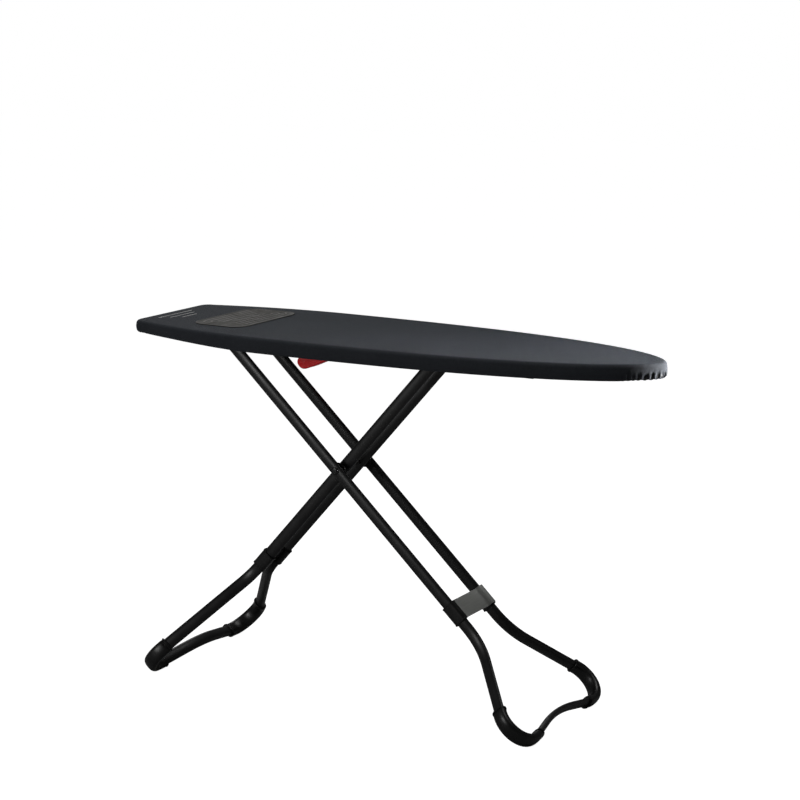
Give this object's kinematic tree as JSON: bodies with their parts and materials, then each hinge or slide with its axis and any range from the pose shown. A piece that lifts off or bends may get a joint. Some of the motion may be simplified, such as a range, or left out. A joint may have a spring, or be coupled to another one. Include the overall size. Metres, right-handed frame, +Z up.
{
  "type": "ironing board",
  "caption": "Folding ironing board with a padded dark cloth top, heat-proof parking mat, crossing oval-tube legs with flared feet and a red release lever.",
  "frame": {"origin": "on the floor, under the middle of the board", "axes": "+X along the board to its nose, +Y across it, +Z up"},
  "size_m": [1.24, 0.4174, 0.8094],
  "materials": {
    "cover_cloth": "matt dark charcoal-blue woven cotton",
    "felt": "pale needle felt",
    "parking_silicone": "matt warm dark grey silicone-coated cloth",
    "black_powder_coat": "satin black powder coat",
    "black_plastic": "semi-gloss black moulded plastic",
    "zinc_plate": "bright zinc plated steel",
    "brushed_plate": "brushed grey steel",
    "red_plastic": "glossy red moulded plastic"
  },
  "bodies": {
    "board": {"cover": "cover_cloth", "foam_pad": "felt", "parking_mat": "parking_silicone", "mesh_panel": "black_powder_coat", "rim_frame": "black_powder_coat", "rear_bracket_near": "black_powder_coat", "rear_bracket_far": "black_powder_coat", "slide_rail_near": "black_powder_coat", "slide_rail_far": "black_powder_coat", "rack_bracket": "black_powder_coat", "rack_pin": "zinc_plate", "lever_bracket": "black_powder_coat", "lever_pin": "zinc_plate", "lever_spring": "zinc_plate"},
    "outer_legs": {"outer_frame": "black_powder_coat", "rear_hinge_rod": "zinc_plate", "outer_foot_cap_near": "black_plastic", "outer_foot_cap_far": "black_plastic", "outer_plug_near": "black_plastic", "outer_plug_far": "black_plastic", "brace_plate": "brushed_plate", "brace_sleeve_near": "black_plastic", "brace_sleeve_far": "black_plastic", "cross_bolt_near": "black_powder_coat", "cross_bolt_far": "black_powder_coat", "cross_spacer_near": "black_plastic", "cross_spacer_far": "black_plastic"},
    "inner_legs": {"inner_frame": "black_powder_coat", "slide_bar": "zinc_plate", "inner_foot_cap_near": "black_plastic", "inner_foot_cap_far": "black_plastic", "inner_plug_near": "black_plastic", "inner_plug_far": "black_plastic", "inner_sleeve_near": "black_plastic", "inner_sleeve_far": "black_plastic", "inner_brace_web": "black_plastic", "bar_spacer_near": "black_plastic", "bar_spacer_far": "black_plastic"},
    "release_lever": {"release_lever": "red_plastic"},
    "catch": {"catch_rack": "black_powder_coat"}
  },
  "joints": [
    {"name": "fold", "type": "hinge", "parent": "board", "child": "outer_legs", "pos_m": [-0.40538, 0, 0.7655], "axis": [0, 1, 0], "range_deg": [-40.86, 6.5]},
    {"name": "leg_cross", "type": "hinge", "parent": "outer_legs", "child": "inner_legs", "pos_m": [-0.1252, 0, 0.5055], "axis": [0, 1, 0], "range_deg": [-14.41, 87.94]},
    {"name": "lever_squeeze", "type": "hinge", "parent": "board", "child": "release_lever", "pos_m": [-0.0945, 0, 0.761], "axis": [0, 1, 0], "range_deg": [0, 12], "stiffness_Nm_per_rad": 1.5, "springref_deg": -8.59},
    {"name": "catch_drop", "type": "hinge", "parent": "board", "child": "catch", "pos_m": [0.3395, 0, 0.7512], "axis": [0, 1, 0], "range_deg": [-0.97, 0.05]}
  ],
  "couplings": [
    {"joint": "leg_cross", "follows": "fold", "ratio": -2.14},
    {"joint": "catch_drop", "follows": "lever_squeeze", "ratio": -0.077}
  ]
}
